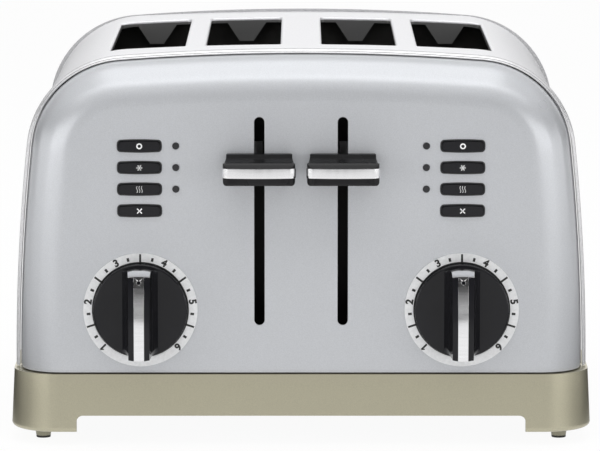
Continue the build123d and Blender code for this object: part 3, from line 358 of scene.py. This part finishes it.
bright_trim = polished("polished trim", (0.80, 0.80, 0.81), 0.36, (1, 0.05, 1))
bright_trim.node_tree.nodes["Principled BSDF"].inputs["Metallic"].default_value = 0.65
trim_groove = polished("trim groove", (0.34, 0.34, 0.35), 0.45, (1, 0.05, 1))
# The back edge's darker grey is painted shade of the crease against the wrap.
trim_crease_shade = polished("trim back edge, painted crease shade", (0.55, 0.55, 0.56), 0.5, (1, 0.05, 1))
trim_crease_shade.node_tree.nodes["Principled BSDF"].inputs["Metallic"].default_value = 0.3
arch_half = 0.1302
arch_top = 0.1801
crown_radius = 1.090
side_radius = 0.958
corner_radius = 0.044
side_centre = Vector((arch_half - side_radius, 0.0334))
crown_centre = Vector((0, arch_top - crown_radius))
trim_foot = 0.034
wrap_edges = {"front": -0.08935, "back": 0.10665}
moulding_spread = 0.0007
arc_steps = 24
crease_shade_ends = 0.92
groove = (3.35, 4.55)
moulding = (
    (0.4, 0.2), (2.1, 0.2), (2.2, 0.5), (2.1, 0.8), (1.85, 0.9), (2.0, 1.4), (2.0, 2.2),
    (1.75, 2.9), (1.3, 3.3), (0.8, 3.45), (0.8, 4.4), (1.0, 4.6), (1.15, 4.9), (1.1, 5.2),
    (0.85, 5.4), (0.4, 5.4),
)


def shoulder_centre():
    """Centre of the shoulder arc that runs from the side arc into the crown arc."""
    line = crown_centre - side_centre
    a, b = side_radius - corner_radius, crown_radius - corner_radius
    along = (a * a - b * b + line.length_squared) / (2 * line.length)
    out = math.sqrt(a * a - along * along)
    unit = line.normalized()
    return side_centre + along * unit + out * Vector((-unit.y, unit.x))


corner_centre = shoulder_centre()
low_shoulder = side_centre + (corner_centre - side_centre).normalized() * side_radius
high_shoulder = crown_centre + (corner_centre - crown_centre).normalized() * crown_radius
foot_x = side_centre.x + math.sqrt(side_radius**2 - (trim_foot - side_centre.y) ** 2)
half_arch = (
    (Vector((foot_x, trim_foot)), side_centre), (low_shoulder, corner_centre),
    (high_shoulder, crown_centre),
)


def arch_path():
    """Points along the arch, from the right foot over the crown to the left foot."""
    points = []
    stops = (low_shoulder, high_shoulder, Vector((0, arch_top)))
    for (start, centre), stop in zip(half_arch, stops):
        a = math.atan2(*(start - centre).yx)
        b = math.atan2(*(stop - centre).yx)
        radius = (start - centre).length
        for i in range(arc_steps):
            t = a + (b - a) * i / arc_steps
            out = Vector((math.cos(t), math.sin(t)))
            points.append((centre + radius * out, out))
    right = points + [(Vector((0, arch_top)), Vector((0, 1)))]
    left = [(Vector((-p.x, p.y)), Vector((-o.x, o.y))) for p, o in reversed(points)]
    return right + left


for end, edge in wrap_edges.items():
    way = -1 if end == "front" else 1
    verts, faces = [], []
    path = arch_path()
    for point, out in path:
        for u, v in moulding:
            spot = point + out * u / 1000 + Vector((moulding_spread * out.x, 0))
            verts.append((spot.x, edge + way * v / 1000, spot.y))
    count = len(moulding)
    for i in range(len(path) - 1):
        for j in range(count):
            k = (j + 1) % count
            faces.append((i * count + j, i * count + k, (i + 1) * count + k, (i + 1) * count + j))
    faces.append(tuple(range(count)))
    faces.append(tuple(range((len(path) - 1) * count, len(path) * count)))
    mesh = bpy.data.meshes.new(end + "_rim_moulding")
    mesh.from_pydata(verts, [], faces)
    moulded_trim = bpy.data.objects.new(end + "_rim_moulding", mesh)
    bpy.context.scene.collection.objects.link(moulded_trim)
    bpy.ops.object.select_all(action="DESELECT")
    moulded_trim.select_set(True)
    bpy.context.view_layer.objects.active = moulded_trim
    bpy.ops.object.mode_set(mode="EDIT")
    bpy.ops.mesh.select_all(action="SELECT")
    bpy.ops.mesh.normals_make_consistent(inside=False)
    bpy.ops.object.mode_set(mode="OBJECT")
    mesh.materials.append(bright_trim)
    mesh.materials.append(trim_groove)
    mesh.materials.append(trim_crease_shade)
    for face in mesh.polygons:
        v = abs(face.center.y - edge) * 1000
        # Back edge faces: painted shade of the crease against the wrap.
        if v < crease_shade_ends:
            face.material_index = 2
        elif groove[0] < v < groove[1]:
            face.material_index = 1
    bpy.ops.object.shade_smooth_by_angle(angle=math.radians(35))
    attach(moulded_trim, "housing")
    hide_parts(end + "_rim_trim")


# Base: a moulded skirt with four hollow legs, sprayed champagne, on small pegs with black
# rubber tips. A zinc-plated floor is screwed to posts inside it.
champagne = sprayed_paint("champagne paint", (0.54, 0.51, 0.382), 0.32, 0.85, 0.1)
dress(champagne, "base_skirt")
# The pegs take a darker copy of the champagne paint: painted shade under the base.
champagne_pegs_shaded = sprayed_paint("champagne pegs, painted shade", (0.33, 0.315, 0.24), 0.4, 0.6, 0.1)
dress(champagne_pegs_shaded, "feet")


def moulded(name, colour, roughness, grain, depth):
    """Moulded plastic or rubber with a fine grain."""
    finish, n, l, shader = new_finish(name)
    speckle = noise(n, l, grain, 3)
    cloud = noise(n, l, 60, 2)
    l.new(
        shades(n, l, cloud, shade(colour, 0.85), shade(colour, 1.15)),
        shader.inputs["Base Color"],
    )
    l.new(
        between(n, l, cloud, max(0.03, roughness - 0.04), roughness + 0.04),
        shader.inputs["Roughness"],
    )
    roughen(n, l, speckle, shader, depth)
    return finish


rubber = moulded("black rubber", (0.025, 0.025, 0.025), 0.7, 1800, 0.00003)
dress(rubber, "foot_tips", "cord_grommet")


def plated(name, colour, roughness, scale):
    """Zinc plate or bare steel with its crystalline patches and dull spots."""
    finish, n, l, shader = new_finish(name)
    patch = noise(n, l, scale, 4)
    l.new(
        shades(n, l, patch, shade(colour, 0.8), shade(colour, 1.1)),
        shader.inputs["Base Color"],
    )
    l.new(between(n, l, patch, roughness - 0.06, roughness + 0.08), shader.inputs["Roughness"])
    shader.inputs["Metallic"].default_value = 0.9
    roughen(n, l, noise(n, l, scale * 6, 2), shader, 0.00001)
    return finish


zinc = plated("zinc plate", (0.5, 0.51, 0.52), 0.4, 120)
dress(zinc, "base_plate", "base_screws")


# Oven: steel bulkheads and top frame, side shields, mica boards with ribbon wound on them,
# and wire guards beside each well. Heat has browned and dulled it all, and its colours are
# darker still as painted shade inside the slots.
oven_steel_and_shade = plated("heat-dulled steel, painted shade", (0.065, 0.063, 0.061), 0.5, 90)
dress(
    oven_steel_and_shade, "front_chassis_plate", "back_chassis_plate", "oven_top_frame",
    "side_heat_shields",
)
mica = moulded("mica board", (0.05, 0.045, 0.036), 0.55, 500, 0.00005)
dress(mica, "heater_boards")
ribbon = plated("heating ribbon", (0.1, 0.09, 0.085), 0.45, 400)
dress(ribbon, "heating_ribbons")
guard_wire = plated("guard wire", (0.09, 0.09, 0.09), 0.45, 300)
for name in sides:
    dress(guard_wire, name + "_inner_guards", name + "_outer_guards")


# Lifting gear: bread racks on two carriages that slide on rods, pulled up by springs and
# held down by magnets.
# The racks take the oven steel, darkened as painted shade inside the slots.
dress(oven_steel_and_shade, *["bread_rack_" + str(i) for i in range(1, 5)])
dress(zinc, "guide_rods", "rod_top_bracket", "left_carriage", "right_carriage")
magnet = plated("magnet core", (0.2, 0.2, 0.21), 0.5, 200)
dress(magnet, "latch_magnets")
spring_wire = plated("spring wire", (0.4, 0.4, 0.41), 0.3, 600)
dress(spring_wire, "left_lift_spring", "right_lift_spring")


# Levers: glossy black thumb pieces, each with a chrome band let into its front.
def softened(node, body, finish, width, angle=30):
    """Copy of a CAD node, welded and with its edges rounded, that stands for it."""
    bpy.ops.object.select_all(action="DESELECT")
    nodes[node].select_set(True)
    bpy.context.view_layer.objects.active = nodes[node]
    bpy.ops.object.duplicate()
    piece = bpy.context.object
    bpy.ops.object.parent_clear(type="CLEAR_KEEP_TRANSFORM")
    for key in list(piece.keys()):
        del piece[key]
    piece.name = piece.data.name = node + "_finished"
    bpy.ops.object.mode_set(mode="EDIT")
    bpy.ops.mesh.select_all(action="SELECT")
    bpy.ops.mesh.customdata_custom_splitnormals_clear()
    bpy.ops.mesh.remove_doubles(threshold=0.000002)
    bpy.ops.mesh.dissolve_limited(angle_limit=math.radians(0.02))
    bpy.ops.object.mode_set(mode="OBJECT")
    edge = piece.modifiers.new("rounded edges", "BEVEL")
    edge.width = width
    edge.segments = 2
    edge.limit_method = "ANGLE"
    edge.angle_limit = math.radians(angle)
    edge.use_clamp_overlap = True
    bpy.ops.object.modifier_apply(modifier=edge.name)
    bpy.ops.object.shade_smooth_by_angle(angle=math.radians(angle + 5))
    level = piece.modifiers.new("level faces", "WEIGHTED_NORMAL")
    level.keep_sharp = True
    bpy.ops.object.modifier_apply(modifier=level.name)
    piece.data.materials.clear()
    piece.data.materials.append(finish)
    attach(piece, body)
    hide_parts(node)
    return piece


gloss_black = moulded("gloss black", (0.010, 0.010, 0.012), 0.12, 900, 0.000006)
gloss_black.node_tree.nodes["Principled BSDF"].inputs["Specular IOR Level"].default_value = 0.28
satin_black = moulded("satin black", (0.010, 0.010, 0.011), 0.26, 900, 0.000006)
satin_black.node_tree.nodes["Principled BSDF"].inputs["Specular IOR Level"].default_value = 0.2
chrome = polished("chrome", (0.92, 0.92, 0.93), 0.1, (0.05, 1, 1))
for name in sides:
    softened(name + "_lever", name + "_lift", satin_black, 0.0003)
    softened(name + "_lever_band", name + "_lift", chrome, 0.00015)


# Browning dials: a satin ring printed with ticks and numbers, and a glossy knob with a
# chrome strip along its grip.
satin = polished("satin dial", (0.87, 0.875, 0.885), 0.42, (1, 1, 1))
satin.node_tree.nodes["Principled BSDF"].inputs["Metallic"].default_value = 0.6
dress(satin, "dial_rings")
black_moulding = moulded("black moulding", (0.03, 0.03, 0.032), 0.5, 1200, 0.00002)
dress(black_moulding, "browning_controls")
dress(bright_trim, "control_nuts")
for name in sides:
    softened(name + "_knob", name + "_dial", gloss_black, 0.0003)
    softened(name + "_knob_strip", name + "_dial", chrome, 0.00012)
    dress(zinc, name + "_knob_shaft")

# A flat black ring on the panel under the gap between each knob and its ring is painted
# shade that darkens the gap.
ring_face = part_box("dial_rings")[0].y
panel_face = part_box("dial_rings")[1].y
knob_low, knob_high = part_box("right_knob_shaft")
knob_x = (knob_low.x + knob_high.x) / 2
knob_z = (knob_low.z + knob_high.z) / 2
shade_ring_inner = 0.0195
shade_ring_outer = 0.0224
shade_ring_sheet = 0.0003


def washer(x, name):
    """Flat black ring of painted shade lying on the front panel round a dial's axis."""
    centre = (x, panel_face, knob_z)
    bpy.ops.mesh.primitive_circle_add(
        vertices=96, radius=shade_ring_outer, location=centre, rotation=(math.pi / 2, 0, 0)
    )
    flat = bpy.context.object
    flat.name = flat.data.name = name
    inwards = shade_ring_inner / shade_ring_outer
    bpy.ops.object.mode_set(mode="EDIT")
    bpy.ops.mesh.select_all(action="SELECT")
    bpy.ops.mesh.extrude_region_move()
    bpy.ops.transform.resize(value=(inwards,) * 3, center_override=centre)
    bpy.ops.object.mode_set(mode="OBJECT")
    bpy.ops.object.transform_apply(location=True, rotation=True, scale=True)
    sheet = flat.modifiers.new("sheet", "SOLIDIFY")
    sheet.thickness = shade_ring_sheet
    bpy.ops.object.modifier_apply(modifier=sheet.name)
    low = max(v.co.y for v in flat.data.vertices)
    for v in flat.data.vertices:
        v.co.y += panel_face - low
    bpy.ops.object.mode_set(mode="EDIT")
    bpy.ops.mesh.select_all(action="SELECT")
    bpy.ops.mesh.normals_make_consistent(inside=False)
    bpy.ops.object.mode_set(mode="OBJECT")
    flat.data.materials.append(black_moulding)
    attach(flat, "housing")


printed_black = moulded("black print", (0.015, 0.015, 0.015), 0.5, 2000, 0.000005)
print_depth = 0.00005
tick_middle = 0.0240
number_radius = 0.0243
number_size = 0.0047
number_weight = 0.0002


def join(pieces, name):
    """Several printed pieces made into one."""
    bpy.ops.object.select_all(action="DESELECT")
    for piece in pieces:
        piece.select_set(True)
    bpy.context.view_layer.objects.active = pieces[0]
    bpy.ops.object.join()
    joined = bpy.context.object
    joined.name = joined.data.name = name
    bpy.ops.object.transform_apply(location=True, rotation=True, scale=True)
    return joined


def tick(x, angle, radius, length, width, lean=0.0):
    """Printed bar on a dial ring, at an angle clockwise from the top; it may lean from that."""
    a = math.radians(angle)
    bpy.ops.mesh.primitive_cube_add(
        size=1,
        location=(x + radius * math.sin(a), ring_face, knob_z + radius * math.cos(a)),
        rotation=(0, a + math.radians(lean), 0), scale=(width, 2 * print_depth, length),
    )
    return bpy.context.object


def number(x, angle, digit):
    """Printed number on a dial ring, its top outwards."""
    a = math.radians(angle)
    bpy.ops.object.text_add(rotation=(math.pi / 2, 0, 0))
    text = bpy.context.object
    text.data.body = str(digit)
    text.data.align_x = text.data.align_y = "CENTER"
    text.data.size = number_size
    text.data.offset = number_weight
    text.data.extrude = print_depth
    text.data.resolution_u = 4
    bpy.ops.object.convert(target="MESH")
    text = bpy.context.object
    bpy.ops.object.transform_apply(location=True, rotation=True, scale=True)
    text.rotation_euler = (0, a, 0)
    text.location = (
        x + number_radius * math.sin(a), ring_face, knob_z + number_radius * math.cos(a)
    )
    return text


# Numbers stand a number_step apart, with a long tick midway between them and a short tick
# midway again. The 1 gets a flag from its top down to the left.
first_number = -135
number_step = 54
long_tick = (0.0040, 0.00092)
short_tick = (0.0017, 0.0011)
flag = (0.0014, 0.00055)
flag_lean = 48
flag_turn = -1.2
flag_rise = 0.00125
for name, side in sides.items():
    marks = []
    x = side * knob_x
    washer(x, name + "_dial_shade_ring")
    for angle in range(-2 * number_step, 2 * number_step + 1, number_step):
        marks.append(tick(x, angle, tick_middle, *long_tick))
    for step in range(5):
        angle = number_step / 4 + number_step / 2 * step
        marks += [tick(x, s * angle, tick_middle, *short_tick) for s in (-1, 1)]
    for digit in range(6):
        marks.append(number(x, first_number + number_step * digit, digit + 1))
    top_of_one = number_radius + flag_rise
    marks.append(tick(x, first_number + flag_turn, top_of_one, *flag, flag_lean))
    print_work = join(marks, name + "_dial_marks")
    print_work.data.materials.clear()
    print_work.data.materials.append(printed_black)
    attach(print_work, "housing")


# Buttons: bowed black keys in a black frame, printed in white with a plain sign each, and
# smoked lenses over the indicator lights beside the upper three.
dress(black_moulding, "button_frames", "crumb_tray_handle", "terminal_block")
key_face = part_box("left_button_1")[0].y
sign_height = 0.0028
ring_sign_wire = 0.11 * sign_height
wave_swing = 0.00022
wave_steps = 8
printed_white = moulded("white print", (0.85, 0.85, 0.85), 0.5, 2000, 0.000005)


def bar(length, width, turn=0.0, place=(0, 0)):
    """Thin printed bar in the plane of the key's face, turned about its place."""
    bpy.ops.mesh.primitive_cube_add(
        size=1, location=(place[0], 0, place[1]), rotation=(0, math.radians(turn), 0),
        scale=(length, 2 * print_depth, width),
    )
    return bpy.context.object


def ring_sign():
    """Open ring, as on a key for rolls with a hole."""
    bpy.ops.mesh.primitive_torus_add(
        major_radius=0.38 * sign_height, minor_radius=ring_sign_wire,
        major_segments=32, minor_segments=6, rotation=(math.pi / 2, 0, 0),
    )
    ring = bpy.context.object
    bpy.ops.object.transform_apply(location=True, rotation=True, scale=True)
    bpy.ops.object.mode_set(mode="EDIT")
    bpy.ops.mesh.select_all(action="SELECT")
    bpy.ops.transform.resize(
        value=(1, print_depth / ring_sign_wire, 1), center_override=(0, 0, 0)
    )
    bpy.ops.object.mode_set(mode="OBJECT")
    return [ring]


def frost_sign():
    """Six-armed frost star."""
    arms = [bar(sign_height, 0.00036, turn) for turn in (0, 60, 120)]
    for turn in range(0, 360, 60):
        a = math.radians(turn)
        spot = (0.33 * sign_height * math.cos(a), -0.33 * sign_height * math.sin(a))
        for lean in (-50, 50):
            arms.append(bar(0.0007, 0.00026, turn + lean, spot))
    return arms


def heat_sign():
    """Three rising waves of warm air."""
    waves = []
    for x in (-0.0011, 0.0, 0.0011):
        for i in range(wave_steps):
            t = (i + 0.5) / wave_steps
            swing = wave_swing * math.sin(2 * math.pi * t)
            slope = wave_swing * 2 * math.pi * math.cos(2 * math.pi * t) / sign_height
            lean = math.degrees(math.atan(slope))
            spot = (x + swing, (t - 0.5) * sign_height)
            waves.append(bar(0.0003, 1.5 * sign_height / wave_steps, lean, spot))
    return waves


def cross_sign():
    """Diagonal cross."""
    return [bar(1.1 * sign_height, 0.0005, turn) for turn in (45, -45)]


signs = (ring_sign, frost_sign, heat_sign, cross_sign)
for name in sides:
    for i in range(1, 5):
        key = name + "_button_" + str(i)
        low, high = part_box(key)
        softened(key, name + "_key_" + str(i), gloss_black, 0.0003)
        sign = join(signs[i - 1](), key + "_sign")
        sign.location = ((low.x + high.x) / 2, key_face, (low.z + high.z) / 2)
        bpy.ops.object.transform_apply(location=True, rotation=True, scale=True)
        sign.data.materials.clear()
        sign.data.materials.append(printed_white)
        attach(sign, name + "_key_" + str(i))
smoked_lens = moulded("smoked lens", (0.018, 0.018, 0.02), 0.15, 900, 0.00001)
dress(smoked_lens, "indicator_lenses")
laminate = moulded("circuit laminate", (0.02, 0.09, 0.04), 0.45, 700, 0.00002)
dress(laminate, "control_boards")


# Crumb tray: a shallow zinc-plated drawer with a black moulded end, drawn out at the back.
dress(zinc, "crumb_tray")
